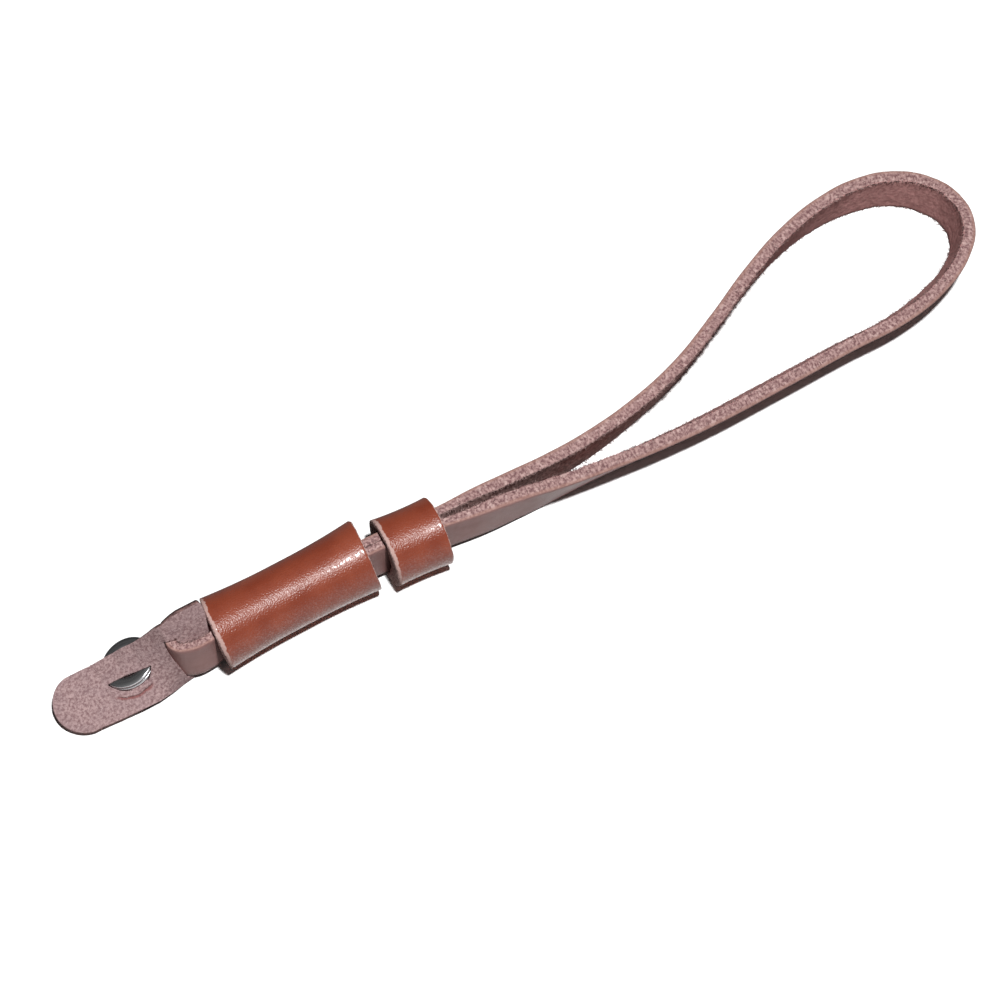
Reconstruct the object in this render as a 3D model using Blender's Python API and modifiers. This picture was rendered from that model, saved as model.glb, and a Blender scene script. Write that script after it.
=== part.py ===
"""Leather wrist strap for a camera, lying on a table.

One hide strip is closed into a long band. Its two legs run side by side through a rolled grip sleeve
and a short sliding keeper, and open into the wrist loop. At the other end the band makes a small bend
through the slot of a lug tab, and a double-coil split ring passes through a slit in that tab.

Metres, +Z up. X runs along the grip sleeve, with the tab towards -X and the wrist loop towards +X.
"""

import math

import bmesh
import bpy
from mathutils import Matrix, Vector

MM = 0.001

# The strip that makes the wrist loop
STRIP_WIDTH = 11.0 * MM
STRIP_THICKNESS = 2.15 * MM
STRIP_EDGE_BEVEL = 0.25 * MM
STRIP_SEGMENTS = 5
SECTION_CORNERS = 8
GRAIN_CORNERS = (3, 4, 5, 6)
LOOP_EXTRA_THICKNESS = 0.85 * MM
LOOP_THICKENS_FROM_X = 36.0 * MM
LOOP_THICKENS_TO_X = 52.0 * MM
JOIN_GAP = 0.3 * MM
FAR_LEG_Y = 0.35 * MM
LEG_GAP = 0.3 * MM
LEG_LIFT = 2.05 * MM

# The grip sleeve, rolled from one piece of hide
SLEEVE_LENGTH = 37.6 * MM
SLEEVE_OUTER_RADIUS = 7.65 * MM
SLEEVE_WALL = 1.15 * MM
SLEEVE_FLARE = 0.8 * MM
SLEEVE_FLARE_LENGTH = 16.0 * MM
SLEEVE_SLANT = 1.4 * MM

# The sliding keeper
KEEPER_LENGTH = 13.0 * MM
KEEPER_OUTER_RADIUS = 7.75 * MM
KEEPER_WALL = 1.15 * MM
KEEPER_FLARE = 0.25 * MM
KEEPER_FLARE_LENGTH = 6.0 * MM
KEEPER_GAP = 3.9 * MM
KEEPER_SHIFT_Y = -2.5 * MM
KEEPER_TURN = math.radians(-5.0)
TUBE_SIDES = 40
TUBE_STATIONS = 10
UNDERSIDE_FADE = 1.6

# The lug tab
TAB_THICKNESS = 1.7 * MM
TAB_LEFT_X = -57.2 * MM
TAB_RIGHT_X = -19.8 * MM
TAB_END_RADIUS = 7.0 * MM
TAB_CORNER_RADIUS = 3.0 * MM
TAB_HALF_WIDTH_GAIN = 2.5 * MM
TAB_WIDENS_FROM_X = -36.0 * MM
TAB_WIDENS_TO_X = -25.0 * MM
TAB_STATIONS = 38
TAB_ROWS = 10
SLOT_CLEARANCE = 0.4 * MM

# The split ring, two coils of flat wire
RING_OUTER_RADIUS = 6.3 * MM
RING_WIRE_WIDTH = 2.0 * MM
RING_WIRE_HEIGHT = 0.8 * MM
RING_COIL_GAP = 0.15 * MM
RING_CENTRE = Vector((-38.0, 5.3, 4.2)) * MM
RING_TILT_ACROSS = math.radians(-13.0)
RING_TILT_ALONG = math.radians(-16.0)
RING_END_DEGREES = 684
RING_STEP_FROM_DEGREES = 322
RING_STEP_TO_DEGREES = 358
RING_DEGREES_A_POINT = 9
RING_CLEARANCE = 0.35 * MM
SLIT_LENGTH = 12.0 * MM
SLIT_WIDTH = 0.6 * MM

# The route of the strip's middle line seen from above, from the join inside the sleeve round the wrist
# loop and back, then round the tab: x and y in millimetres, height of the lower edge over the table in
# millimetres, and outward lean of the upper edge in degrees.
LEG_LIFT_MM = LEG_LIFT / MM
FAR_MM = FAR_LEG_Y / MM
NEAR_MM = (FAR_LEG_Y - STRIP_THICKNESS - LEG_GAP) / MM
JOIN_MM = JOIN_GAP / MM / 2
ROUTE = [
    (JOIN_MM, FAR_MM, LEG_LIFT_MM, 0),
    (12, FAR_MM, LEG_LIFT_MM, 0),
    (24, FAR_MM - 0.4, LEG_LIFT_MM, -1),
    (37, -1.0, 1.9, -2),
    (46, -0.8, 1.6, -3),
    (55, -0.8, 1.0, -5),
    (65, -0.8, 0.4, -7.5),
    (76, -0.2, 0.2, -10.5),
    (90, 2.0, 0.2, -14),
    (104, 5.9, 0.25, -15.5),
    (118, 11.9, 0.25, -15),
    (132, 18.5, 0.2, -13.5),
    (146, 23.7, 0.2, -12),
    (159, 26.0, 0.15, -8),
    (169, 25.6, 0.1, -4),
    (177.5, 22.8, 0, -2),
    (183.7, 17.0, 0, 1),
    (186.3, 9.8, 0, 3),
    (184.3, 2.0, 0, 9),
    (178.2, -3.6, 0, 17),
    (169, -7.5, 0, 24),
    (157, -9.7, 0, 27),
    (141, -9.6, 0, 28),
    (122, -9.7, 0, 29),
    (104, -9.7, 0, 29),
    (90, -9.0, 0, 28),
    (77, -7.9, 0, 25),
    (66, -7.2, 0.3, 18),
    (55, -6.3, 1.0, 9),
    (46, -5.6, 1.6, 5),
    (37, -4.3, 1.9, 3),
    (24, NEAR_MM - 0.4, LEG_LIFT_MM, -1),
    (12, NEAR_MM, LEG_LIFT_MM, 0),
    (-10, NEAR_MM, LEG_LIFT_MM, 0),
    (-18, NEAR_MM - 0.2, LEG_LIFT_MM, -1),
    (-22.5, -3.0, 1.9, -3),
    (-26.3, -2.5, 1.8, -3),
    (-28.5, -0.8, 1.7, 0),
    (-28.7, 1.8, 1.7, 2),
    (-26.9, 4.1, 1.8, 3),
    (-23.5, 4.5, 1.9, 2),
    (-19.2, 2.8, LEG_LIFT_MM, 0),
    (-14, 1.0, LEG_LIFT_MM, 0),
    (-8, FAR_MM, LEG_LIFT_MM, 0),
    (-JOIN_MM, FAR_MM, LEG_LIFT_MM, 0),
]

# The stations of the small bend that the tab is threaded on
BEND = [station for station in ROUTE if station[0] < -15]

# How the tab lies along its length. Each station has its x, the y of the tab's near edge and the height of
# that edge over the table in millimetres, then in degrees the mean lift of the far edge and the curl of
# the section, by which the near edge stands steeper than the far one.
TAB_LAY = [
    (-59, -4.2, 0.1, 8, 0),
    (-50, -4.2, 0.1, 8, 0),
    (-45, -4.7, 0.3, 11, 0),
    (-40, -5.0, 0.6, 20, 4),
    (-36, -4.7, 0.5, 34, 12),
    (-32.5, -3.8, 0.2, 52, 22),
    (-29.5, -2.9, 0.1, 66, 28),
    (-26, -2.4, 0.1, 70, 28),
    (-20, -2.2, 0.1, 71, 28),
]


def clear_scene():
    for old in list(bpy.data.objects):
        bpy.data.objects.remove(old)


def new_collection(name):
    collection = bpy.data.collections.new(name)
    bpy.context.scene.collection.children.link(collection)
    return collection


def material(name, color, roughness, metallic=0.0):
    made = bpy.data.materials.new(name)
    made.use_nodes = True
    shader = made.node_tree.nodes["Principled BSDF"]
    shader.inputs["Base Color"].default_value = (*color, 1.0)
    shader.inputs["Roughness"].default_value = roughness
    shader.inputs["Metallic"].default_value = metallic
    return made


def add_object(name, data, collection, finish=None):
    made = bpy.data.objects.new(name, data)
    if finish:
        data.materials.append(finish)
    collection.objects.link(made)
    return made


def mesh_object(name, bm, collection, finish=None):
    mesh = bpy.data.meshes.new(name)
    bm.to_mesh(mesh)
    bm.free()
    return add_object(name, mesh, collection, finish)


def thicken_loop(mesh):
    """Moves the flesh side of a swept strip inward where it makes the wrist loop, which is thicker."""
    for start in range(0, len(mesh.vertices), SECTION_CORNERS):
        ring = list(mesh.vertices)[start:start + SECTION_CORNERS]
        grain_side = [ring[index] for index in GRAIN_CORNERS]
        flesh_side = [vert for vert in ring if vert not in grain_side]
        outward = sum((vert.co for vert in grain_side), Vector())
        outward -= sum((vert.co for vert in flesh_side), Vector())
        middle_x = sum(vert.co.x for vert in ring) / SECTION_CORNERS
        share = (middle_x - LOOP_THICKENS_FROM_X) / (LOOP_THICKENS_TO_X - LOOP_THICKENS_FROM_X)
        share = min(1.0, max(0.0, share))
        extra = LOOP_EXTRA_THICKNESS * share * share * (3 - 2 * share)
        for vert in flesh_side:
            vert.co -= outward.normalized() * extra


def as_mesh(curve_object, name, collection, finish=None, reshape=None):
    """The solid that a curve object makes, reshaped and with its caps welded on, in place of the curve."""
    bpy.context.view_layer.update()
    graph = bpy.context.evaluated_depsgraph_get()
    mesh = bpy.data.meshes.new_from_object(curve_object.evaluated_get(graph))
    if reshape:
        reshape(mesh)
    bm = bmesh.new()
    bm.from_mesh(mesh)
    bmesh.ops.remove_doubles(bm, verts=bm.verts, dist=0.001 * MM)
    bmesh.ops.recalc_face_normals(bm, faces=bm.faces)
    bm.to_mesh(mesh)
    bm.free()
    mesh.materials.clear()
    made = add_object(name, mesh, collection, finish)
    made.matrix_world = curve_object.matrix_world.copy()
    bpy.data.objects.remove(curve_object)
    return made


def round_shade(made, angle=35):
    made.data.shade_smooth()
    made.data.set_sharp_from_angle(angle=math.radians(angle))


def hide_helper(made):
    made.hide_render = True
    made.display_type = "WIRE"


def cut(target, cutter):
    modifier = target.modifiers.new(cutter.name, "BOOLEAN")
    modifier.operation = "DIFFERENCE"
    modifier.solver = "EXACT"
    modifier.object = cutter


def section_curve(name, width, height, bevel, collection):
    """A rectangle with broken corners, to be swept along a route: width across it, height up."""
    half_w = width / 2
    half_h = height / 2
    corners = [
        (half_w, -half_h + bevel), (half_w, half_h - bevel),
        (half_w - bevel, half_h), (-half_w + bevel, half_h),
        (-half_w, half_h - bevel), (-half_w, -half_h + bevel),
        (-half_w + bevel, -half_h), (half_w - bevel, -half_h),
    ]
    data = bpy.data.curves.new(name, "CURVE")
    data.dimensions = "2D"
    spline = data.splines.new("POLY")
    spline.points.add(len(corners) - 1)
    for point, (x, y) in zip(spline.points, corners):
        point.co = (x, y, 0, 1)
    spline.use_cyclic_u = True
    made = add_object(name, data, collection)
    hide_helper(made)
    return made


def middle_height(lift_mm, lean_degrees):
    """Height of the strip's middle when its lowest corner is this far over the table."""
    lean = math.radians(lean_degrees)
    up = STRIP_WIDTH / 2 * math.cos(lean)
    corner = STRIP_THICKNESS / 2 * abs(math.sin(lean))
    return lift_mm * MM + up + corner


def swept_strip(name, stations, section, collection, finish=None, reshape=None):
    """The section swept along some stations of the route, with its ends closed."""
    data = bpy.data.curves.new(name, "CURVE")
    data.dimensions = "3D"
    data.twist_mode = "Z_UP"
    data.resolution_u = STRIP_SEGMENTS
    data.bevel_mode = "OBJECT"
    data.bevel_object = section
    data.use_fill_caps = True
    spline = data.splines.new("BEZIER")
    spline.tilt_interpolation = "CARDINAL"
    spline.bezier_points.add(len(stations) - 1)
    for point, (x, y, lift, lean) in zip(spline.bezier_points, stations):
        point.co = (x * MM, y * MM, middle_height(lift, lean))
        point.handle_left_type = "AUTO"
        point.handle_right_type = "AUTO"
        point.tilt = math.radians(-lean)
    curve = add_object(name + "_route", data, collection)
    return as_mesh(curve, name, collection, finish, reshape)


def rolled_tube(name, length, outer_radius, wall, flare, flare_length, slant, collection, finish):
    """A tube of hide along X about the origin, a little wider at its mouths, which are cut aslant."""
    bm = bmesh.new()
    circle = bmesh.ops.create_circle(bm, segments=TUBE_SIDES, radius=outer_radius)
    bmesh.ops.rotate(bm, verts=circle["verts"], matrix=Matrix.Rotation(math.pi / 2, 3, "Y"))
    edges = list(bm.edges)
    rings = [circle["verts"]]
    for _ in range(TUBE_STATIONS):
        grown = bmesh.ops.extrude_edge_only(bm, edges=edges)["geom"]
        edges = [item for item in grown if isinstance(item, bmesh.types.BMEdge) and
                 all(vert in grown for vert in item.verts)]
        rings.append([item for item in grown if isinstance(item, bmesh.types.BMVert)])
    for index, ring in enumerate(rings):
        # Stations crowd towards the mouths, where the flare is.
        share = 0.5 - 0.5 * math.cos(math.pi * index / TUBE_STATIONS)
        x = (share - 0.5) * length
        from_mouth = length / 2 - abs(x)
        wide = max(0.0, 1 - from_mouth / flare_length) ** 2
        for vert in ring:
            # The flare fades out on the underside, so the tube lies flat on the table.
            share_up = min(1.0, UNDERSIDE_FADE * (1 + vert.co.z / outer_radius))
            grow = 1 + flare * wide * share_up / outer_radius
            toward_top_front = (vert.co.z - vert.co.y) / outer_radius / math.sqrt(2)
            if share > 0.5:
                toward_top_front = max(0.0, toward_top_front)
            lean = -slant * toward_top_front * abs(1 - 2 * share)
            vert.co = Vector((x + lean, vert.co.y * grow, vert.co.z * grow))
    bmesh.ops.recalc_face_normals(bm, faces=bm.faces)
    made = mesh_object(name, bm, collection, finish)
    shell = made.modifiers.new("wall", "SOLIDIFY")
    shell.thickness = wall
    shell.offset = -1
    shell.use_even_offset = True
    round_shade(made)
    return made


def tab_lay_at(x):
    """The lay of the tab at this x, eased between the stations of TAB_LAY, in metres and radians."""
    x_mm = x / MM
    station = TAB_LAY[-1][1:]
    for first, second in zip(TAB_LAY, TAB_LAY[1:]):
        if x_mm <= second[0]:
            share = max(0.0, (x_mm - first[0]) / (second[0] - first[0]))
            station = [a + (b - a) * share for a, b in zip(first[1:], second[1:])]
            break
    near_y, raised, lift, curl = station
    return near_y * MM, raised * MM, math.radians(lift), math.radians(curl)


def tab_full_half_width(x):
    """Half width of the tab before its ends are rounded: it widens from the round end to the slot."""
    share = (x - TAB_WIDENS_FROM_X) / (TAB_WIDENS_TO_X - TAB_WIDENS_FROM_X)
    share = min(1.0, max(0.0, share))
    return TAB_END_RADIUS + TAB_HALF_WIDTH_GAIN * share * share * (3 - 2 * share)


def tab_half_width(x):
    half = tab_full_half_width(x)
    from_left = x - TAB_LEFT_X
    from_right = TAB_RIGHT_X - x
    if from_left < TAB_END_RADIUS:
        return math.sqrt(max(0.0, TAB_END_RADIUS ** 2 - (TAB_END_RADIUS - from_left) ** 2))
    if from_right < TAB_CORNER_RADIUS:
        missing = TAB_CORNER_RADIUS - max(0.0, from_right)
        return half - TAB_CORNER_RADIUS + math.sqrt(TAB_CORNER_RADIUS ** 2 - missing ** 2)
    return half


def tab_point(x, across):
    """Place of a point of the tab's middle surface, across it from -1, the near edge, to 1."""
    near_y, raised, lift, curl = tab_lay_at(x)
    reach = tab_full_half_width(x) + across * tab_half_width(x)
    start = lift + curl / 2
    turned = curl * reach / (2 * tab_full_half_width(x))
    run, rise = reach * math.cos(start), reach * math.sin(start)
    if turned > 0.001:
        radius = reach / turned
        run = radius * (math.sin(start) - math.sin(start - turned))
        rise = radius * (math.cos(start - turned) - math.cos(start))
    floor = raised + TAB_THICKNESS / 2 * math.cos(start)
    return Vector((x, near_y + run, floor + rise))


def lug_tab(collection, finish):
    bm = bmesh.new()
    bmesh.ops.create_grid(bm, x_segments=TAB_STATIONS, y_segments=TAB_ROWS, size=1)
    for vert in bm.verts:
        # Stations crowd towards the two ends, which are rounded.
        share = 0.5 + 0.5 * math.sin(vert.co.x * math.pi / 2)
        x = TAB_LEFT_X + share * (TAB_RIGHT_X - TAB_LEFT_X)
        vert.co = tab_point(x, vert.co.y)
    bmesh.ops.remove_doubles(bm, verts=bm.verts, dist=0.02 * MM)
    bmesh.ops.recalc_face_normals(bm, faces=bm.faces)
    made = mesh_object("lug_tab", bm, collection, finish)
    shell = made.modifiers.new("thickness", "SOLIDIFY")
    shell.thickness = TAB_THICKNESS
    shell.offset = 0
    shell.use_even_offset = True
    round_shade(made)
    return made


def ring_matrix():
    across = Matrix.Rotation(RING_TILT_ACROSS, 4, "X")
    along = Matrix.Rotation(RING_TILT_ALONG, 4, "Y")
    return Matrix.Translation(RING_CENTRE) @ along @ across


def split_ring(collection, helpers, finish):
    """Two flat coils of one wire: the first turn steps up over its own start and lies on itself."""
    middle = RING_OUTER_RADIUS - RING_WIRE_WIDTH / 2
    pitch = RING_WIRE_HEIGHT + RING_COIL_GAP
    section = section_curve(
        "ring_section", RING_WIRE_WIDTH, RING_WIRE_HEIGHT, RING_WIRE_HEIGHT * 0.2, helpers
    )
    data = bpy.data.curves.new("ring_route", "CURVE")
    data.dimensions = "3D"
    data.twist_mode = "Z_UP"
    data.bevel_mode = "OBJECT"
    data.bevel_object = section
    data.use_fill_caps = True
    spline = data.splines.new("POLY")
    count = RING_END_DEGREES // RING_DEGREES_A_POINT
    spline.points.add(count)
    for index, point in enumerate(spline.points):
        degrees = index * RING_DEGREES_A_POINT
        step = (degrees - RING_STEP_FROM_DEGREES) / (RING_STEP_TO_DEGREES - RING_STEP_FROM_DEGREES)
        step = min(1.0, max(0.0, step))
        z = pitch * (step * step * (3 - 2 * step) - 0.5)
        angle = math.radians(degrees)
        point.co = (middle * math.cos(angle), middle * math.sin(angle), z, 1)
    curve = add_object("ring_wire", data, collection)
    made = as_mesh(curve, "split_ring", collection, finish)
    made.matrix_world = ring_matrix()
    round_shade(made)
    return made


def ring_cutter(helpers):
    """The space that the ring sweeps as it turns, with clearance all round."""
    high = 2 * RING_WIRE_HEIGHT + RING_COIL_GAP + 2 * RING_CLEARANCE
    outer = RING_OUTER_RADIUS + RING_CLEARANCE
    inner = RING_OUTER_RADIUS - RING_WIRE_WIDTH - RING_CLEARANCE
    bm = bmesh.new()
    profile = [(inner, high / 2), (outer, high / 2), (outer, -high / 2), (inner, -high / 2)]
    verts = [bm.verts.new((x, 0, z)) for x, z in profile]
    for first, second in zip(verts, verts[1:] + verts[:1]):
        bm.edges.new((first, second))
    bmesh.ops.spin(
        bm, geom=list(bm.verts) + list(bm.edges), cent=(0, 0, 0), axis=(0, 0, 1),
        angle=math.tau, steps=60, use_merge=True,
    )
    bmesh.ops.remove_doubles(bm, verts=bm.verts, dist=0.001 * MM)
    bmesh.ops.recalc_face_normals(bm, faces=bm.faces)
    made = mesh_object("ring_space", bm, helpers)
    made.matrix_world = ring_matrix()
    hide_helper(made)
    return made


def slit_cutter(helpers):
    """A thin blade through the tab on the line where the ring's plane meets it."""
    centre_x = RING_CENTRE.x - 0.8 * MM
    _, _, lift, _ = tab_lay_at(centre_x)
    chord = 0.62 * RING_OUTER_RADIUS
    place = ring_matrix() @ Vector((-0.8 * MM, -chord, 0))
    bm = bmesh.new()
    bmesh.ops.create_cube(bm, size=1)
    bmesh.ops.scale(bm, verts=bm.verts, vec=(SLIT_LENGTH, SLIT_WIDTH, 6 * TAB_THICKNESS))
    made = mesh_object("ring_slit", bm, helpers)
    turn = Matrix.Rotation(RING_TILT_ALONG, 4, "Y") @ Matrix.Rotation(lift, 4, "X")
    made.matrix_world = Matrix.Translation(place) @ turn
    hide_helper(made)
    return made


def place_on_origin(collection):
    """Moves the whole strap so that the origin is under the middle of its bounding box."""
    bpy.context.view_layer.update()
    graph = bpy.context.evaluated_depsgraph_get()
    corners = []
    for piece in collection.objects:
        evaluated = piece.evaluated_get(graph)
        mesh = evaluated.to_mesh()
        corners += [piece.matrix_world @ vert.co for vert in mesh.vertices]
        evaluated.to_mesh_clear()
    low = Vector([min(corner[axis] for corner in corners) for axis in range(3)])
    high = Vector([max(corner[axis] for corner in corners) for axis in range(3)])
    offset = Vector((-(low.x + high.x) / 2, -(low.y + high.y) / 2, -low.z))
    for piece in bpy.data.objects:
        if piece.parent is None:
            piece.matrix_world = Matrix.Translation(offset) @ piece.matrix_world
    bpy.context.view_layer.update()


clear_scene()
strap = new_collection("camera_wrist_strap")
helpers = new_collection("helpers")
hide = material("hide_strip", (0.30, 0.18, 0.15), 0.75)
polished = material("polished_hide", (0.30, 0.07, 0.03), 0.3)
flesh = material("flesh_side_hide", (0.37, 0.24, 0.22), 0.9)
steel = material("ring_steel", (0.55, 0.55, 0.56), 0.25, 1.0)

strip_section = section_curve(
    "strip_section", STRIP_THICKNESS, STRIP_WIDTH, STRIP_EDGE_BEVEL, helpers
)
strip = swept_strip("wrist_strip", ROUTE, strip_section, strap, hide, thicken_loop)
round_shade(strip)

sleeve = rolled_tube(
    "grip_sleeve", SLEEVE_LENGTH, SLEEVE_OUTER_RADIUS, SLEEVE_WALL,
    SLEEVE_FLARE, SLEEVE_FLARE_LENGTH, SLEEVE_SLANT, strap, polished,
)
sleeve.location.z = SLEEVE_OUTER_RADIUS

keeper = rolled_tube(
    "sliding_keeper", KEEPER_LENGTH, KEEPER_OUTER_RADIUS, KEEPER_WALL,
    KEEPER_FLARE, KEEPER_FLARE_LENGTH, 0.0, strap, polished,
)
keeper.location = (
    (SLEEVE_LENGTH + KEEPER_LENGTH) / 2 + KEEPER_GAP,
    KEEPER_SHIFT_Y,
    KEEPER_OUTER_RADIUS,
)
keeper.rotation_euler.z = KEEPER_TURN

tab = lug_tab(strap, flesh)
slot_section = section_curve(
    "slot_section", STRIP_THICKNESS + 2 * SLOT_CLEARANCE, STRIP_WIDTH + 2 * SLOT_CLEARANCE,
    STRIP_EDGE_BEVEL, helpers,
)
slot = swept_strip("strip_slot", BEND, slot_section, helpers)
hide_helper(slot)
cut(tab, slot)
cut(tab, slit_cutter(helpers))
cut(tab, ring_cutter(helpers))

split_ring(strap, helpers, steel)
place_on_origin(strap)
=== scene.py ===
"""The looks of a leather camera wrist strap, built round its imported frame.

The pieces come in the order in which the strap is put together: the hide strip, the grip sleeve and the
sliding keeper rolled about it, the lug tab threaded on its small bend, and the split ring through the tab.
"""

import math
import random

import bmesh
import bpy
from mathutils import Matrix, Vector, noise


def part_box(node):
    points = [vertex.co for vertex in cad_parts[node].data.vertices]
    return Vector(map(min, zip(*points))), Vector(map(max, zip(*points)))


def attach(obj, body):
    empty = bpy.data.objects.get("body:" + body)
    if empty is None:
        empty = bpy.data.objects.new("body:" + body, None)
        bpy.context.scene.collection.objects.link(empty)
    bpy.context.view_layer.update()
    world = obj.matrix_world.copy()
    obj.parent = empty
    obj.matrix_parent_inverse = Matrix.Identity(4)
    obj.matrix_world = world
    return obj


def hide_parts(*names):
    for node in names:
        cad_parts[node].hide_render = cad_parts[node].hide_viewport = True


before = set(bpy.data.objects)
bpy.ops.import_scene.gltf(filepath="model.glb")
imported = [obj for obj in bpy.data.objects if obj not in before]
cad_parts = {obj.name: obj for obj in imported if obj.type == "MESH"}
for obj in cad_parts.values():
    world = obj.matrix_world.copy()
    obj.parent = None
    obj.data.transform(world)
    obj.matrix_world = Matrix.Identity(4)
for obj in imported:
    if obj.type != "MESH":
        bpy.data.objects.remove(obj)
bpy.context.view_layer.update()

# The camera looks down on the table at 60 degrees from the photograph's distance. The strap's own frame, in
# which it was measured, has its origin on the table under the middle of the grip sleeve.
MM = 0.001
SLEEVE_LENGTH = 37.6 * MM
sleeve_low, sleeve_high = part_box("grip_sleeve")
STRAP_ORIGIN = Vector((sleeve_high[0] - SLEEVE_LENGTH / 2, (sleeve_low[1] + sleeve_high[1]) / 2, 0))
LOOK_AT = STRAP_ORIGIN + Vector((54.0, 0.25, 0)) * MM
CAMERA_AWAY = Vector((-0.2605, -0.4270, 0.8660))
CAMERA_DISTANCE = 0.650
FOCAL_LENGTH = 102.96
SENSOR_WIDTH = 36

lens = bpy.data.cameras.new("camera")
lens.lens = FOCAL_LENGTH
lens.sensor_width = SENSOR_WIDTH
lens.clip_start = 0.01
viewpoint = bpy.data.objects.new("camera", lens)
bpy.context.scene.collection.objects.link(viewpoint)
viewpoint.location = LOOK_AT + CAMERA_AWAY * CAMERA_DISTANCE
viewpoint.rotation_euler = CAMERA_AWAY.to_track_quat("Z", "Y").to_euler()
bpy.context.scene.camera = viewpoint
bpy.context.scene.view_settings.view_transform = "Standard"


# The table is plain and white. One lamp hangs high over it, a little on the viewer's side, and the sky is
# faint, so each piece keeps a narrow dark shadow at its foot. Polish mirrors the white table on the viewer's
# side and a darker room behind.
class Shade:
    """A socket among a material's nodes, on which sums are written as plain expressions."""

    def __init__(self, tree, socket=None):
        self.tree = tree
        self.socket = socket

    def node(self, kind, inputs=None, output=0, **settings):
        """A node of this kind: its settings first, then the values or links of its sockets."""
        made = self.tree.nodes.new("ShaderNode" + kind)
        for name, value in settings.items():
            setattr(made, name, value)
        for key, value in (inputs or {}).items():
            socket = made.inputs[key]
            if isinstance(value, Shade):
                self.tree.links.new(value.socket, socket)
            elif socket.type == "RGBA":
                socket.default_value = (*value, 1)
            else:
                socket.default_value = value
        return Shade(self.tree, made.outputs[output] if made.outputs else None)

    def math(self, operation, first, second):
        return self.node("Math", {0: first, 1: second}, operation=operation)

    def __add__(self, other):
        return self.math("ADD", self, other)

    def __radd__(self, other):
        return self.math("ADD", other, self)

    def __sub__(self, other):
        return self.math("SUBTRACT", self, other)

    def __rsub__(self, other):
        return self.math("SUBTRACT", other, self)

    def __mul__(self, other):
        return self.math("MULTIPLY", self, other)

    def __rmul__(self, other):
        return self.math("MULTIPLY", other, self)

    def largest(self, *others):
        """The largest of this value and the others."""
        result = self
        for other in others:
            result = self.math("MAXIMUM", result, other)
        return result

    def axis(self, index):
        """One of this vector's three numbers."""
        return self.node("SeparateXYZ", {0: self}, output=index)

    def mix(self, first, second):
        """The first colour where this mask is 0, the second where it is 1."""
        return self.node("Mix", {0: self, 6: first, 7: second}, output=2, data_type="RGBA")

    def eased(self, low, high):
        """This value eased from 0 at low to 1 at high."""
        return self.node("MapRange", {0: self, 1: low, 2: high}, interpolation_type="SMOOTHSTEP")

    def noise(self, scale, detail=2.0, roughness=0.5):
        """Noise on these coordinates, mostly from 0.3 to 0.7."""
        inputs = {"Vector": self, "Scale": scale, "Detail": detail, "Roughness": roughness}
        return self.node("TexNoise", inputs)

    def finish(self, color, roughness, height=None, depth=0.0, **fixed):
        """Ends the material with a Principled shader, and with a bump where a height is given."""
        inputs = {"Base Color": color, "Roughness": roughness}
        inputs.update({key.replace("_", " "): value for key, value in fixed.items()})
        if height:
            inputs["Normal"] = self.node("Bump", {"Height": height, "Distance": depth, "Strength": 1.0})
        self.node("OutputMaterial", {"Surface": self.node("BsdfPrincipled", inputs)})


def bare_material(name):
    made = bpy.data.materials.new(name)
    made.use_nodes = True
    made.node_tree.nodes.clear()
    return made, Shade(made.node_tree)


def light_path(shade):
    """What kind of ray meets this: 1 or 0 for a camera ray, a glossy ray and a transmission ray."""
    return [shade.node("LightPath", output=f"Is {kind} Ray") for kind in ("Camera", "Glossy", "Transmission")]


def new_piece(name, bm, finishes):
    """A smooth-shaded object at the origin from a finished bmesh."""
    mesh = bpy.data.meshes.new(name)
    bm.to_mesh(mesh)
    bm.free()
    for finish in finishes:
        mesh.materials.append(finish)
    mesh.shade_smooth()
    made = bpy.data.objects.new(name, mesh)
    bpy.context.scene.collection.objects.link(made)
    return made


TABLE_HALF = 1.5
TABLE_TOP = -0.02 * MM
TABLE_SEEN = 1.2
TABLE_BOUNCE = 0.18
TABLE_BEHIND = 0.2
BEHIND_WITHIN = 6 * MM
table_white, shade = bare_material("table_white")
camera_ray, glossy_ray, transmission_ray = light_path(shade)
seen = camera_ray.largest(glossy_ray, transmission_ray)
tone = seen.mix((TABLE_BOUNCE,) * 3, (TABLE_SEEN,) * 3)
depth = shade.node("TexCoord", output="Object").axis(1)
behind = depth.eased(STRAP_ORIGIN.y, STRAP_ORIGIN.y + BEHIND_WITHIN)
tone = (glossy_ray * behind).mix(tone, (TABLE_BEHIND,) * 3)
shade.node("OutputMaterial", {"Surface": shade.node("BsdfDiffuse", {"Color": tone})})

bm = bmesh.new()
bmesh.ops.create_grid(bm, x_segments=1, y_segments=1, size=TABLE_HALF)
bmesh.ops.translate(bm, verts=bm.verts, vec=(0, 0, TABLE_TOP))
table = new_piece("table", bm, [table_white])

LAMP_AWAY = Vector((0.0, -0.245, 0.970)).normalized()
LAMP_DISTANCE = 1.2
LAMP_SIZE = 0.085
LAMP_WATTS = 15.8
lamp_data = bpy.data.lights.new("lamp", "AREA")
lamp_data.shape = "DISK"
lamp_data.size = LAMP_SIZE
lamp_data.energy = LAMP_WATTS
lamp = bpy.data.objects.new("lamp", lamp_data)
bpy.context.scene.collection.objects.link(lamp)
lamp.location = LOOK_AT + LAMP_AWAY * LAMP_DISTANCE
lamp.rotation_euler = LAMP_AWAY.to_track_quat("Z", "Y").to_euler()

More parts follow.
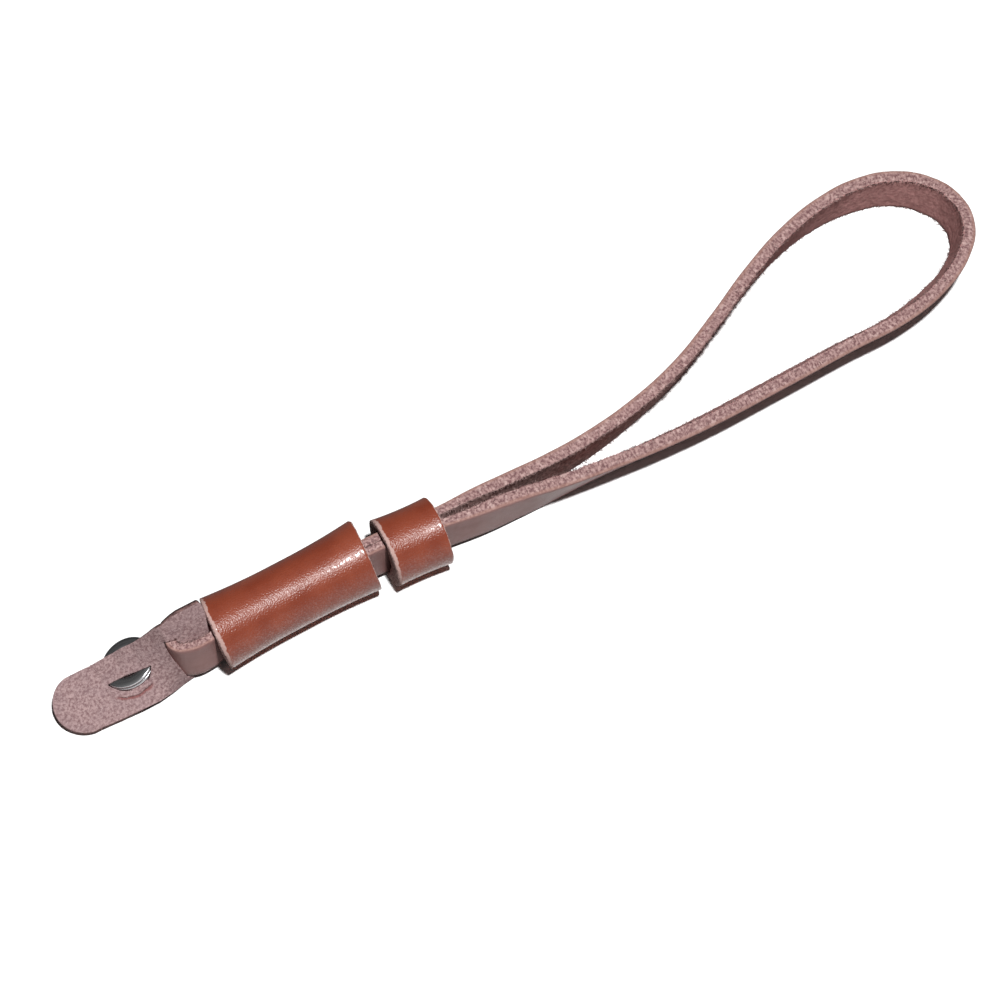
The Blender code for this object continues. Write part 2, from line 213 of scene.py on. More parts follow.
SKY_LIGHT = 0.025
SKY_IN_POLISH = 0.28
DARKER_BEHIND = 0.85
sky = bpy.data.worlds.new("sky")
bpy.context.scene.world = sky
sky.use_nodes = True
sky.node_tree.nodes.clear()
shade = Shade(sky.node_tree)
camera_ray, glossy_ray, transmission_ray = light_path(shade)
direction = shade.node("TexCoord", output="Generated")
backward, height = direction.axis(1), direction.axis(2)
mirrored = 1 - height.eased(0.05, 0.45) * (1 - SKY_IN_POLISH)
mirrored = mirrored * (1 - backward.eased(0.1, 0.5) * (1 - height.eased(0.5, 0.7)) * DARKER_BEHIND)
strength = SKY_LIGHT + glossy_ray * (mirrored - SKY_LIGHT)
strength = strength.largest(camera_ray, transmission_ray)
background = shade.node("Background", {"Color": (1, 1, 1), "Strength": strength})
shade.node("OutputWorld", {"Surface": background})


# The strip is one band of thick hide on its edge, its smooth grain side outward and its fibrous flesh side
# inward. It closes the wrist loop, runs doubled through keeper and sleeve, and bends through the tab's slot.
STRIP_WIDTH = 11.0 * MM
STRIP_THICKNESS = 2.15 * MM
LEG_LIFT = 2.05
FAR_LEG = 0.35
NEAR_LEG = -2.1
JOIN_HALF = 0.15
ROUTE = [
    (JOIN_HALF, FAR_LEG, LEG_LIFT, 0),
    (12, FAR_LEG, LEG_LIFT, 0),
    (24, FAR_LEG - 0.4, LEG_LIFT, -1),
    (37, -1.0, 1.9, -2),
    (46, -0.8, 1.6, -3),
    (55, -0.8, 1.0, -5),
    (65, -0.8, 0.4, -7.5),
    (76, -0.2, 0.2, -10.5),
    (90, 2.0, 0.2, -14),
    (104, 5.9, 0.25, -15.5),
    (118, 11.9, 0.25, -15),
    (132, 18.5, 0.2, -13.5),
    (146, 23.7, 0.2, -12),
    (159, 26.0, 0.15, -8),
    (169, 25.6, 0.1, -4),
    (177.5, 22.8, 0, -2),
    (183.7, 17.0, 0, 1),
    (186.3, 9.8, 0, 3),
    (184.3, 2.0, 0, 9),
    (178.2, -3.6, 0, 17),
    (169, -7.5, 0, 24),
    (157, -9.7, 0, 27),
    (141, -9.6, 0, 28),
    (122, -9.7, 0, 29),
    (104, -9.7, 0, 29),
    (90, -9.0, 0, 28),
    (77, -7.9, 0, 25),
    (66, -7.2, 0.3, 18),
    (55, -6.3, 1.0, 9),
    (46, -5.6, 1.6, 5),
    (37, -4.3, 1.9, 3),
    (24, NEAR_LEG - 0.4, LEG_LIFT, -1),
    (12, NEAR_LEG, LEG_LIFT, 0),
    (-10, NEAR_LEG, LEG_LIFT, 0),
    (-18, NEAR_LEG - 0.2, LEG_LIFT, -1),
    (-22.5, -3.0, 1.9, -3),
    (-26.3, -2.5, 1.8, -3),
    (-28.5, -0.8, 1.7, 0),
    (-28.7, 1.8, 1.7, 2),
    (-26.9, 4.1, 1.8, 3),
    (-23.5, 4.5, 1.9, 2),
    (-19.2, 2.8, LEG_LIFT, 0),
    (-14, 1.0, LEG_LIFT, 0),
    (-8, FAR_LEG, LEG_LIFT, 0),
    (-JOIN_HALF, FAR_LEG, LEG_LIFT, 0),
]
BEND_LEFT_OF = -15
BEND = [station for station in ROUTE if station[0] < BEND_LEFT_OF]
HANDLE_SHARE = 1 / 2.5614
SAMPLE_STEP = 0.4 * MM
LOOP_EXTRA = 0.85 * MM / STRIP_THICKNESS
LOOP_THICKENS = (36 * MM, 52 * MM)


def station_point(x, y, lift, lean):
    """The strip's middle at a station whose lowest corner is this far over the table."""
    lean = math.radians(lean)
    up = STRIP_WIDTH / 2 * math.cos(lean) + STRIP_THICKNESS / 2 * abs(math.sin(lean))
    return STRAP_ORIGIN + Vector((x * MM, y * MM, lift * MM + up))


def route_frames(stations, spacing):
    """Evenly spaced frames along the stations: the middle, and the outward and upward directions there."""
    points = [station_point(*station) for station in stations]
    leans = [math.radians(station[3]) for station in stations]
    points = [2 * points[0] - points[1], *points, 2 * points[-1] - points[-2]]
    leans = [leans[0], *leans, leans[-1]]
    frames = []
    for index in range(1, len(points) - 2):
        before, start, end, after = points[index - 1:index + 3]
        length = (end - start).length
        leave = ((end - start).normalized() + (start - before).normalized()).normalized()
        arrive = ((after - end).normalized() + (end - start).normalized()).normalized()
        first = start + leave * length * HANDLE_SHARE
        second = end - arrive * length * HANDLE_SHARE
        steps = max(1, round(length / spacing))
        last = index == len(points) - 3
        for step in range(steps + last):
            t = step / steps
            s = 1 - t
            place = start * s ** 3 + first * 3 * s * s * t + second * 3 * s * t * t + end * t ** 3
            ahead = (first - start) * s * s + (second - first) * 2 * s * t + (end - second) * t * t
            out = Vector((0, 0, 1)).cross(ahead).normalized()
            up = ahead.cross(out).normalized()
            slopes = (leans[index + 1] - leans[index - 1]) / 2, (leans[index + 2] - leans[index]) / 2
            lean = (leans[index] * (1 + 2 * t) * s * s + leans[index + 1] * t * t * (3 - 2 * t) +
                    slopes[0] * t * s * s - slopes[1] * t * t * s)
            frames.append((
                place,
                out * math.cos(lean) - up * math.sin(lean),
                up * math.cos(lean) + out * math.sin(lean),
            ))
    return frames


# Panels are joined where their edges come this close.
WELD = 0.002 * MM


def panel(bm, columns, rows, place, size, slot):
    """A grid of faces on the places that a function gives, its UV map in metres."""
    known = set(bm.faces)
    grid = bmesh.ops.create_grid(bm, x_segments=columns, y_segments=rows, size=1, calc_uvs=True)
    uv_map = bm.loops.layers.uv.verify()
    for face in bm.faces:
        if face not in known:
            face.material_index = slot
            for loop in face.loops:
                across, along = loop.vert.co.x / 2 + 0.5, loop.vert.co.y / 2 + 0.5
                loop[uv_map].uv = (across * size[0], along * size[1])
    for vert in grid["verts"]:
        column = round((vert.co.x / 2 + 0.5) * columns)
        row = round((vert.co.y / 2 + 0.5) * rows)
        vert.co = place(column, row)


def even_line(start, end, count):
    return [start.lerp(end, index / count) for index in range(count + 1)]


def corner(centre, start_degrees, radius, count=2):
    """Points on a quarter round, turning from this angle, with its two ends."""
    turns = [math.radians(start_degrees + 90 * index / count) for index in range(count + 1)]
    return [centre + Vector((math.cos(turn), math.sin(turn))) * radius for turn in turns]


def thick(middle):
    """How much thicker the strip is here than in the sleeve: its hide is thicker where it makes the loop."""
    share = (middle.x - STRAP_ORIGIN.x - LOOP_THICKENS[0]) / (LOOP_THICKENS[1] - LOOP_THICKENS[0])
    share = min(1.0, max(0.0, share))
    return 1 + LOOP_EXTRA * share * share * (3 - 2 * share)


GRAIN, CUT, FLESH = range(3)
half_t, half_w = STRIP_THICKNESS / 2, STRIP_WIDTH / 2
CORNER_RADIUS = 0.3 * MM
rounded_t, rounded_w = half_t - CORNER_RADIUS, half_w - CORNER_RADIUS
top_out = corner(Vector((rounded_t, rounded_w)), 0, CORNER_RADIUS)
top_in = corner(Vector((-rounded_t, rounded_w)), 90, CORNER_RADIUS)
foot_in = corner(Vector((-rounded_t, -rounded_w)), 180, CORNER_RADIUS)
foot_out = corner(Vector((rounded_t, -rounded_w)), 270, CORNER_RADIUS)
strip_sides = [
    (GRAIN, even_line(foot_out[-1], top_out[0], 10) + top_out[1:2]),
    (CUT, [*top_out[1:], *even_line(top_out[-1], top_in[0], 7)[1:], top_in[1]]),
    (FLESH, [*top_in[1:], *even_line(top_in[-1], foot_in[0], 14)[1:], foot_in[1]]),
    (CUT, [*foot_in[1:], *even_line(foot_in[-1], foot_out[0], 5)[1:], foot_out[1]]),
    (GRAIN, foot_out[1:]),
]
strip_frames = route_frames(ROUTE, SAMPLE_STEP)
strip_length = sum((b[0] - a[0]).length for a, b in zip(strip_frames, strip_frames[1:]))

bm = bmesh.new()
for slot, section in strip_sides:
    section_length = sum((b - a).length for a, b in zip(section, section[1:]))

    def strip_place(column, row):
        middle, out, up = strip_frames[column]
        a, h = section[row]
        return middle + out * (half_t - (half_t - a) * thick(middle)) + up * h

    panel(bm, len(strip_frames) - 1, len(section) - 1, strip_place, (strip_length, section_length), slot)
bmesh.ops.remove_doubles(bm, verts=bm.verts, dist=WELD)
bmesh.ops.holes_fill(bm, edges=[edge for edge in bm.edges if edge.is_boundary])
bmesh.ops.recalc_face_normals(bm, faces=bm.faces)

# Cut and flesh faces are uneven: fibres stand out from them and the inner corner is ragged.
ROUGHEN = {GRAIN: 0.02 * MM, CUT: 0.09 * MM, FLESH: 0.16 * MM}
bm.normal_update()
moves = []
for vert in bm.verts:
    depth = sum(ROUGHEN[face.material_index] for face in vert.link_faces) / len(vert.link_faces)
    coarse = noise.noise(vert.co * 700)
    fine = noise.noise(vert.co * 2300)
    moves.append((vert, vert.normal * depth * (coarse * 0.6 + fine * 0.9)))
for vert, move in moves:
    vert.co += move

hide_grain, shade = bare_material("hide_grain")
place = shade.node("UVMap")
cloud = place.noise(90, 3).eased(0.3, 0.7)
pores = place.noise(2600, 2)
streak = place.noise(420, 3).eased(0.35, 0.7)
tone = cloud.mix((0.305, 0.152, 0.140), (0.400, 0.225, 0.210))
tone = (streak * 0.3).mix(tone, (0.24, 0.105, 0.095))
shade.finish(tone, 0.42 + 0.15 * cloud, pores, 0.05 * MM, Specular_IOR_Level=0.35)

hide_cut, shade = bare_material("hide_cut_edge")
place = shade.node("UVMap")
across = place.axis(1)
speckle = place.noise(1500, 3, 0.65)
fleck = place.noise(750, 2, 0.5)
skin = 1 - across.eased(0.25 * MM, 0.65 * MM)
grit = speckle.eased(0.34, 0.66)
tone = grit.mix((0.190, 0.095, 0.097), (0.520, 0.335, 0.315))
tone = (fleck.eased(0.54, 0.70) * 0.6).mix(tone, (0.66, 0.47, 0.44))
tone = (skin * 0.6).mix(tone, (0.400, 0.225, 0.185))
shade.finish(tone, 0.85, speckle * (1 - skin * 0.7), 0.16 * MM, Specular_IOR_Level=0.2)

hide_flesh, shade = bare_material("hide_flesh")
place = shade.node("UVMap")
nap = place.noise(1100, 3, 0.6)
drift = place.noise(160, 2)
along, deep = place.axis(0), place.axis(1)
# Along the strip the flesh side turns from a darker fibrous nap to a lighter smooth one. The nap is the
# hide's own. The darker tone on the far leg towards the keeper is painted shade from the near leg, and the
# lighter tone beyond it, round the loop's end, is painted light.
lit_smooth_share = along.eased(90 * MM, 150 * MM)
fibrous_painted_shade = nap.eased(0.34, 0.68).mix((0.260, 0.165, 0.150), (0.540, 0.370, 0.345))
smooth_painted_lit = nap.eased(0.34, 0.68).mix((0.560, 0.275, 0.265), (0.740, 0.400, 0.375))
tone = lit_smooth_share.mix(fibrous_painted_shade, smooth_painted_lit)
tone = (drift.eased(0.4, 0.65) * 0.3).mix(tone, (0.34, 0.16, 0.15))
tuft = place.noise(1500, 3, 0.65).eased(0.48, 0.62) * (1 - deep.eased(0.2 * MM, 2.2 * MM))
tone = (tuft * 0.8).mix(tone, (0.60, 0.42, 0.40))
shade.finish(tone, 0.9, nap, 0.16 * MM, Specular_IOR_Level=0.15)

strip = new_piece("strip", bm, [hide_grain, hide_cut, hide_flesh])
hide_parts("wrist_strip")
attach(strip, "strap")

# Loose fibres stand along the inner corner of the strip's upper edge, where the knife left the flesh open.
FIBRES = 4200
FIBRE_FOOT = 0.085 * MM
FIBRE_TIP = 0.03 * MM
FIBRE_ROOT = 0.05 * MM
FIBRES_ON_CUT = 0.3
JOIN_FRAMES = 20
draw = random.Random(11)
bm = bmesh.new()
for _ in range(FIBRES):
    middle, out, up = strip_frames[draw.randrange(JOIN_FRAMES, len(strip_frames) - JOIN_FRAMES)]
    along = out.cross(up)
    level = draw.choice((1, 1, 1, -1))
    inner = half_t - 2 * half_t * thick(middle)
    foot = middle + out * (inner + FIBRE_ROOT) + up * level * (half_w - draw.uniform(0.05, 0.5) * MM)
    if draw.random() < FIBRES_ON_CUT:
        foot = middle + out * draw.uniform(inner, 0.2 * half_t) + up * level * (half_w - FIBRE_ROOT)
    heading = (-out * draw.uniform(0.1, 1.0) + up * level * draw.uniform(-0.1, 0.8) +
               along * draw.uniform(-1.3, 1.3)).normalized()
    length = draw.uniform(0.3, 1.1) * MM
    turn = heading.to_track_quat("Z", "Y").to_matrix().to_4x4()
    bmesh.ops.create_cone(
        bm, cap_ends=True, segments=3, radius1=FIBRE_FOOT, radius2=FIBRE_TIP, depth=length,
        matrix=Matrix.Translation(foot + heading * length * 0.4) @ turn,
    )
fibre_finish, shade = bare_material("loose_fibre")
place = shade.node("TexCoord", output="Object")
tone = place.noise(900, 1).eased(0.35, 0.65).mix((0.15, 0.08, 0.08), (0.52, 0.35, 0.33))
shade.finish(tone, 0.8)
fibres = new_piece("strip_fibres", bm, [fibre_finish])
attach(fibres, "strap")


# The grip sleeve and the sliding keeper are rolled from thinner hide with a polished grain. Their mouths
# spread a little and show the pale cut edge, and the left ones are pressed towards the legs within.
TUBE_WALL = 1.15 * MM
PRESSED = 0.8
PRESSED_DEPTH = 1.5 * MM
PRESSED_CLEARANCE = 0.3 * MM
RAGGED = 0.1 * MM
DENTED = 0.08 * MM
TURN_LENGTH = math.tau * 7.7 * MM


def rolled_tube(length, radius, flare, flare_length, slant, sides, stations, hugged):
    """A tube along X about the origin: its outside, its mouths and its inside as panels.

    Its mouths flare by this much over this length, and stand at a slant. Its -X mouth is pressed towards
    the legs, which fill the box of y and z that it hugs.
    """
    bm = bmesh.new()
    wall = TUBE_WALL
    lip = wall * 0.35
    outside = [(index / stations, 0) for index in range(stations + 1)]
    inside = [(share, wall) for share, _ in reversed(outside)]
    mouth_right = [(1, 0), (1 + lip * 0.5 / length, lip * 0.4), (1 + lip * 0.7 / length, wall / 2),
                   (1 + lip * 0.5 / length, wall - lip * 0.4), (1, wall)]
    mouth_left = [(1 - share, wall - depth) for share, depth in mouth_right]
    for slot, line in ((GRAIN, outside), (CUT, mouth_right), (FLESH, inside), (CUT, mouth_left)):
        def tube_place(column, row):
            turn = math.tau * column / sides - math.pi / 2
            share, depth = line[row]
            x = (share - 0.5) * length
            wide = max(0.0, 1 - max(0.0, length / 2 - abs(x)) / flare_length) ** 2
            y, z = math.cos(turn), math.sin(turn)
            outer = radius + flare * wide * min(1.0, 1.6 * (1 + z))
            reach_y = hugged[1 if y > 0 else 0] / y if abs(y) > 0.01 else 1
            reach_z = hugged[3 if z > 0 else 2] / z if abs(z) > 0.01 else 1
            filled = max(wall, PRESSED * (outer - min(reach_y, reach_z) - PRESSED_CLEARANCE))
            pressed = min(1.0, max(0.0, 2 - share * length / PRESSED_DEPTH))
            spread = outer - depth * (1 + (filled / wall - 1) * pressed)
            ragged = noise.noise(Vector((y, z, share * 3 + 5)) * 5) * RAGGED * (wide ** 2)
            lean = (z - y) / math.sqrt(2)
            if share > 0.5:
                lean = max(0.0, lean)
            lean *= -slant * abs(1 - 2 * share)
            dent = noise.noise(Vector((x * 60, y * 1.2, z * 1.2))) * DENTED * min(1.0, 1 + z)
            return Vector((x + lean + ragged, y * (spread + dent), z * (spread + dent)))

        panel(bm, sides, len(line) - 1, tube_place, (math.tau * radius, length), slot)
    bmesh.ops.remove_doubles(bm, verts=bm.verts, dist=WELD)
    bmesh.ops.recalc_face_normals(bm, faces=bm.faces)
    return bm


polished_grain, shade = bare_material("polished_grain")
place = shade.node("UVMap")
around, along = place.axis(0), place.axis(1)
cloud = place.noise(130, 3).eased(0.3, 0.7)
pebble = place.node("TexVoronoi", {"Vector": place, "Scale": 2600}, feature="SMOOTH_F1")
pores = place.noise(3000, 2)
tone = cloud.mix((0.240, 0.045, 0.021), (0.305, 0.066, 0.032))
tone = (pores.eased(0.5, 0.7) * 0.3).mix(tone, (0.18, 0.030, 0.014))
from_mouth = along + (place.noise(500, 3, 0.7) - 0.5) * (1.6 * MM)
rim = 1 - from_mouth.eased(0.45 * MM, 0.70 * MM)
tone = (rim * 0.9).mix(tone, (0.60, 0.40, 0.36))
height = pebble * 0.6 + pores
glint = (1 - pebble.eased(0.2, 0.5)) * 0.6
front = around.eased(0.40 * TURN_LENGTH, 0.48 * TURN_LENGTH)
shade.finish(
    tone, 0.27 + 0.06 * cloud + 0.4 * rim, height, 0.08 * MM, Coat_Weight=front * (1 - rim) * glint,
    Coat_Roughness=0.16, Specular_IOR_Level=0.45,
)

thin_cut, shade = bare_material("thin_cut_edge")
place = shade.node("TexCoord", output="Object")
speckle = place.noise(2000, 2, 0.6)
tone = speckle.eased(0.35, 0.62).mix((0.26, 0.14, 0.13), (0.68, 0.48, 0.44))
shade.finish(tone, 0.85, speckle, 0.12 * MM, Specular_IOR_Level=0.2)

thin_flesh, shade = bare_material("thin_flesh")
place = shade.node("TexCoord", output="Object")
nap = place.noise(1400, 3, 0.6)
tone = nap.eased(0.36, 0.66).mix((0.17, 0.09, 0.08), (0.34, 0.20, 0.18))
shade.finish(tone, 0.9, nap, 0.15 * MM, Specular_IOR_Level=0.15)

SLEEVE_RADIUS = 7.65 * MM
SLEEVE_HUGS = (-3.6 * MM, 4.1 * MM, -5.6 * MM, 5.4 * MM)
bm = rolled_tube(
    SLEEVE_LENGTH, SLEEVE_RADIUS, flare=0.8 * MM, flare_length=16 * MM, slant=1.4 * MM,
    sides=120, stations=56, hugged=SLEEVE_HUGS,
)
bmesh.ops.translate(bm, verts=bm.verts, vec=STRAP_ORIGIN + Vector((0, 0, SLEEVE_RADIUS)))
sleeve = new_piece("sleeve", bm, [polished_grain, thin_cut, thin_flesh])
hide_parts("grip_sleeve")
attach(sleeve, "strap")

KEEPER_LENGTH = 13.0 * MM
KEEPER_RADIUS = 7.75 * MM
KEEPER_GAP = 3.9 * MM
KEEPER_SHIFT_Y = -2.5 * MM
KEEPER_HUGS = (-1.8 * MM, 3.1 * MM, -5.7 * MM, 5.3 * MM)
KEEPER_TURN = Matrix.Rotation(math.radians(-5), 3, "Z")
bm = rolled_tube(
    KEEPER_LENGTH, KEEPER_RADIUS, flare=0.25 * MM, flare_length=6 * MM, slant=0,
    sides=120, stations=28, hugged=KEEPER_HUGS,
)
bmesh.ops.rotate(bm, verts=bm.verts, cent=(0, 0, 0), matrix=KEEPER_TURN)
keeper_x = (SLEEVE_LENGTH + KEEPER_LENGTH) / 2 + KEEPER_GAP
bmesh.ops.translate(bm, verts=bm.verts, vec=STRAP_ORIGIN + Vector((keeper_x, KEEPER_SHIFT_Y, KEEPER_RADIUS)))
keeper = new_piece("keeper", bm, [polished_grain, thin_cut, thin_flesh])
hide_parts("sliding_keeper")
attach(keeper, "keeper")


# The lug tab is a strap end of soft hide, flesh side up. It lies flat at its round end and turns up until
# it stands at the sleeve's mouth. The strip passes through its slot, and the ring through a slit in it.
TAB_THICKNESS = 1.7 * MM
TAB_LEFT = -57.2
TAB_RIGHT = -19.8
TAB_END_RADIUS = 7.0
TAB_CORNER_RADIUS = 1.2
TAB_GAIN = 2.5
TAB_WIDENS_FROM = -36
TAB_WIDENS_OVER = 11
TAB_COLUMNS = 150
TAB_ROWS = 44
OUTERMOST = 0.985
UNEVEN = 0.12
CREASE_CENTRE = (-38.4, 5.3, 0)
CREASE_FROM = 7.9
TAB_LAY = [
    (-59, -4.2, 0.1, 8, 0),
    (-50, -4.2, 0.1, 8, 0),
    (-45, -4.7, 0.3, 11, 0),
    (-40, -5.0, 0.6, 20, 4),
    (-36, -4.7, 0.5, 34, 12),
    (-32.5, -3.8, 0.2, 52, 22),
    (-29.5, -2.9, 0.1, 66, 28),
    (-26, -2.4, 0.1, 70, 28),
    (-20, -2.2, 0.1, 71, 28),
]


def tab_lay_at(x):
    """The y and height of the tab's near edge, its lift and its curl at this x, between two stations."""
    for first, second in zip(TAB_LAY, TAB_LAY[1:]):
        if x <= second[0]:
            share = max(0.0, (x - first[0]) / (second[0] - first[0]))
            return [a + (b - a) * share for a, b in zip(first[1:], second[1:])]
    return TAB_LAY[-1][1:]


def tab_place(column, row):
    """Place of a point of the tab's middle surface."""
    whole = math.sin((row / TAB_ROWS - 0.5) * math.pi)
    across = OUTERMOST * whole
    cornered = (abs(across) - 1) * (TAB_END_RADIUS + TAB_GAIN) / TAB_CORNER_RADIUS + 1
    left = TAB_LEFT + TAB_END_RADIUS * (1 - math.sqrt(1 - across ** 2))
    right = TAB_RIGHT - TAB_CORNER_RADIUS * (1 - math.sqrt(1 - max(0.0, cornered) ** 2))
    x = left + (right - left) * column / TAB_COLUMNS
    widens = min(1.0, max(0.0, (x - TAB_WIDENS_FROM) / TAB_WIDENS_OVER))
    full = TAB_END_RADIUS + TAB_GAIN * widens * widens * (3 - 2 * widens)
    near_y, raised, lift, curl = tab_lay_at(x)
    lift, curl = math.radians(lift), math.radians(curl)
    reach = full + whole * full
    start = lift + curl / 2
    turned = curl * reach / (2 * full)
    run, rise = reach * math.cos(start), reach * math.sin(start)
    if turned > 0.001:
        radius = reach / turned
        run = radius * (math.sin(start) - math.sin(start - turned))
        rise = radius * (math.cos(start - turned) - math.cos(start))
    uneven = noise.noise(Vector((x, across * 7, 3)) * 0.35) * UNEVEN
    z = raised + TAB_THICKNESS / MM / 2 * math.cos(start) + rise + uneven * min(1.0, reach / 4)
    return STRAP_ORIGIN + Vector((x, near_y + run, z)) * MM


def swept_cutter(name, stations, width, height):
    """A closed box swept along some stations of the route, to cut the strip's way through the tab."""
    frames = route_frames(stations, 0.8 * MM)
    corners = [(-width, -height), (width, -height), (width, height), (-width, height), (-width, -height)]
    bm = bmesh.new()

    def cutter_place(column, row):
        middle, out, up = frames[column]
        return middle + out * corners[row][0] / 2 + up * corners[row][1] / 2

    panel(bm, len(frames) - 1, 4, cutter_place, (1, 1), 0)
    bmesh.ops.remove_doubles(bm, verts=bm.verts, dist=WELD)
    bmesh.ops.holes_fill(bm, edges=[edge for edge in bm.edges if edge.is_boundary])
    bmesh.ops.recalc_face_normals(bm, faces=bm.faces)
    return new_piece(name, bm, [])


def cut_away(piece, cutter):
    """Has one closed piece cut out of another."""
    modifier = piece.modifiers.new(cutter.name, "BOOLEAN")
    modifier.operation = "DIFFERENCE"
    modifier.solver = "EXACT"
    modifier.object = cutter


def settle(piece):
    """Puts a piece's modifiers into its mesh."""
    bpy.context.view_layer.update()
    graph = bpy.context.evaluated_depsgraph_get()
    mesh = bpy.data.meshes.new_from_object(piece.evaluated_get(graph))
    piece.modifiers.clear()
    piece.data = mesh


tab_flesh, shade = bare_material("tab_flesh")
place = shade.node("TexCoord", output="Object")
nap = place.noise(1700, 4, 0.7)
blotch = place.noise(260, 3, 0.6)
speck = place.noise(2600, 2, 0.6)
tone = nap.eased(0.34, 0.66).mix((0.245, 0.145, 0.148), (0.515, 0.360, 0.355))
tone = (blotch.eased(0.42, 0.62) * 0.2).mix(tone, (0.290, 0.200, 0.215))
tone = (speck.eased(0.60, 0.72) * 0.6).mix(tone, (0.62, 0.47, 0.46))
flat = place.node("Mapping", {"Vector": place, "Scale": (1, 1, 0)})
ring_foot = STRAP_ORIGIN + Vector(CREASE_CENTRE) * MM
from_ring = flat.node("VectorMath", {0: flat, 1: ring_foot}, output=1, operation="DISTANCE")
from_ring = from_ring + 1.2 * MM * place.noise(350, 3)
crease = from_ring.eased(CREASE_FROM * MM, (CREASE_FROM + 0.4) * MM)
crease = crease * (1 - from_ring.eased((CREASE_FROM + 0.5) * MM, (CREASE_FROM + 1.1) * MM))
crease = crease * (1 - place.axis(1).eased(ring_foot.y - 6.4 * MM, ring_foot.y - 5.2 * MM))
crease = crease * (1 - place.axis(0).eased(ring_foot.x + 1.5 * MM, ring_foot.x + 3.5 * MM))
crease = crease * place.noise(900, 3, 0.7).eased(0.35, 0.5)
tone = (crease * 0.75).mix(tone, (0.27, 0.085, 0.08))
shade.finish(tone, 0.92, nap + speck * 0.5 - crease * 2, 0.16 * MM, Specular_IOR_Level=0.15)

tab_edge, shade = bare_material("tab_edge")
place = shade.node("TexCoord", output="Object")
nap = place.noise(1200, 3, 0.6)
tone = nap.eased(0.36, 0.64).mix((0.10, 0.055, 0.055), (0.26, 0.15, 0.14))
shade.finish(tone, 0.85, nap, 0.15 * MM, Specular_IOR_Level=0.2)

tab_grain, shade = bare_material("tab_grain")
place = shade.node("TexCoord", output="Object")
pores = place.noise(2600, 2)
tone = place.noise(130, 3).eased(0.3, 0.7).mix((0.220, 0.045, 0.022), (0.300, 0.070, 0.036))
shade.finish(tone, 0.4, pores, 0.05 * MM)

bm = bmesh.new()
panel(bm, TAB_COLUMNS, TAB_ROWS, tab_place, (36.6 * MM, 16 * MM), 0)
bmesh.ops.recalc_face_normals(bm, faces=bm.faces)
if sum(face.normal.z * face.calc_area() for face in bm.faces) < 0:
    bmesh.ops.reverse_faces(bm, faces=bm.faces)
tab = new_piece("tab", bm, [tab_flesh, tab_grain, tab_edge])
shell = tab.modifiers.new("thickness", "SOLIDIFY")
shell.thickness = TAB_THICKNESS
shell.offset = 0
shell.material_offset = 1
shell.material_offset_rim = 2

RING_CENTRE = STRAP_ORIGIN + Vector((-38.0, 5.3, 4.05)) * MM
RING_TURN = Matrix.Rotation(math.radians(-16), 4, "Y") @ Matrix.Rotation(math.radians(-13), 4, "X")
RING_PLACE = Matrix.Translation(RING_CENTRE) @ RING_TURN
RING_RADIUS = 6.3 * MM
WIRE_WIDTH = 2.6 * MM
WIRE_HEIGHT = 0.8 * MM
COIL_GAP = 0.15 * MM
SLOT_CLEARANCE = 0.28 * MM
SLIT_CLEARANCE = 0.12 * MM
SLIT_CLEARANCE_INWARD = 0.1 * MM
SLIT_CLEARANCE_OUTWARD = 0.25 * MM
RING_SPACE_SIDES = 90
slot_cutter = swept_cutter(
    "slot_cutter", BEND, STRIP_THICKNESS + 2 * SLOT_CLEARANCE, STRIP_WIDTH + SLOT_CLEARANCE,
)
bm = bmesh.new()
high = WIRE_HEIGHT + COIL_GAP / 2 + SLIT_CLEARANCE
inner = RING_RADIUS - WIRE_WIDTH - SLIT_CLEARANCE_INWARD
outer = RING_RADIUS + SLIT_CLEARANCE_OUTWARD
ring_bounds = [(inner, high), (outer, high), (outer, -high), (inner, -high), (inner, high)]


def ring_space_place(column, row):
    """Place of a point of the ring's path through the tab, a little larger than the ring."""
    turn = math.tau * column / RING_SPACE_SIDES
    reach, z = ring_bounds[row]
    return RING_PLACE @ Vector((reach * math.cos(turn), reach * math.sin(turn), z))


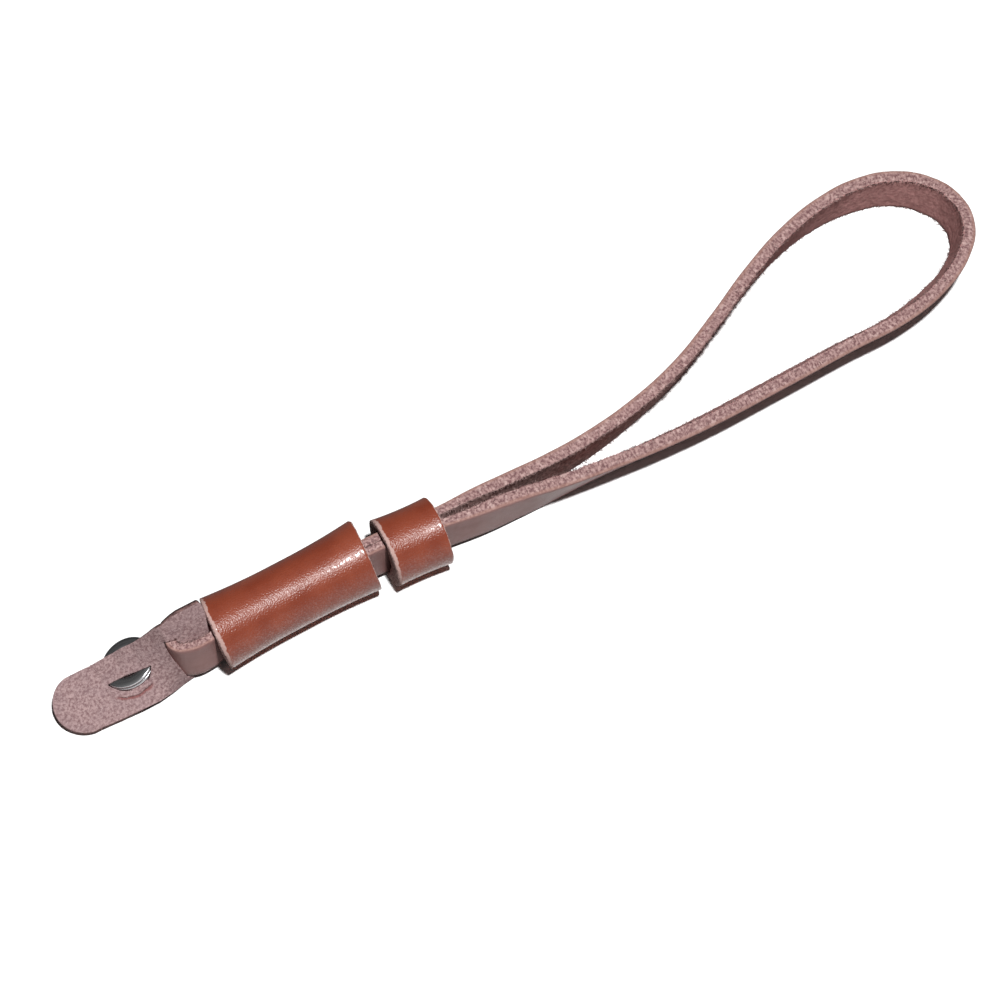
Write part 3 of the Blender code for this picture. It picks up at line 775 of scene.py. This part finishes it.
panel(bm, RING_SPACE_SIDES, 4, ring_space_place, (1, 1), 0)
bmesh.ops.remove_doubles(bm, verts=bm.verts, dist=WELD)
bmesh.ops.recalc_face_normals(bm, faces=bm.faces)
ring_cutter = new_piece("ring_cutter", bm, [])
cut_away(tab, slot_cutter)
cut_away(tab, ring_cutter)
settle(tab)
for cutter in (slot_cutter, ring_cutter):
    bpy.data.objects.remove(cutter)
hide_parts("lug_tab")
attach(tab, "strap")


# The split ring is one flat steel wire wound twice: its first turn steps up over its own start and lies on
# itself. It takes the strap lug of a camera.
RING_END_DEGREES = 684
STEP_DEGREES = (322, 358)
WIRE_SAMPLES = 260
WIRE_SIDES = 20
WIRE_SQUARENESS = 0.45


def wire_place(column, row):
    """Place of a point of the wire's skin: a flat section with rounded corners, swept round the ring."""
    degrees = RING_END_DEGREES * column / WIRE_SAMPLES
    step = min(1.0, max(0.0, (degrees - STEP_DEGREES[0]) / (STEP_DEGREES[1] - STEP_DEGREES[0])))
    level = (WIRE_HEIGHT + COIL_GAP) * (step * step * (3 - 2 * step) - 0.5)
    turn = math.radians(degrees)
    around = math.tau * row / WIRE_SIDES
    c, s = math.cos(around), math.sin(around)
    a = math.copysign(abs(c) ** WIRE_SQUARENESS, c) * WIRE_WIDTH / 2
    h = math.copysign(abs(s) ** WIRE_SQUARENESS, s) * WIRE_HEIGHT / 2
    reach = RING_RADIUS - WIRE_WIDTH / 2 + a
    return RING_PLACE @ Vector((reach * math.cos(turn), reach * math.sin(turn), level + h))


ring_steel, shade = bare_material("ring_steel")
place = shade.node("UVMap")
along = place.node("Mapping", {"Vector": place, "Scale": (60, 3000, 1)})
scratch = along.noise(1, 3, 0.6)
tone = scratch.eased(0.35, 0.65).mix((0.42, 0.42, 0.43), (0.60, 0.60, 0.61))
shade.finish(tone, 0.16 + 0.12 * scratch, scratch, 0.01 * MM, Metallic=1.0)

bm = bmesh.new()
wire_length = math.radians(RING_END_DEGREES) * RING_RADIUS
panel(bm, WIRE_SAMPLES, WIRE_SIDES, wire_place, (wire_length, 2 * (WIRE_WIDTH + WIRE_HEIGHT)), 0)
bmesh.ops.remove_doubles(bm, verts=bm.verts, dist=WELD)
bmesh.ops.holes_fill(bm, edges=[edge for edge in bm.edges if edge.is_boundary])
bmesh.ops.recalc_face_normals(bm, faces=bm.faces)
ring = new_piece("ring", bm, [ring_steel])
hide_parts("split_ring")
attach(ring, "ring")
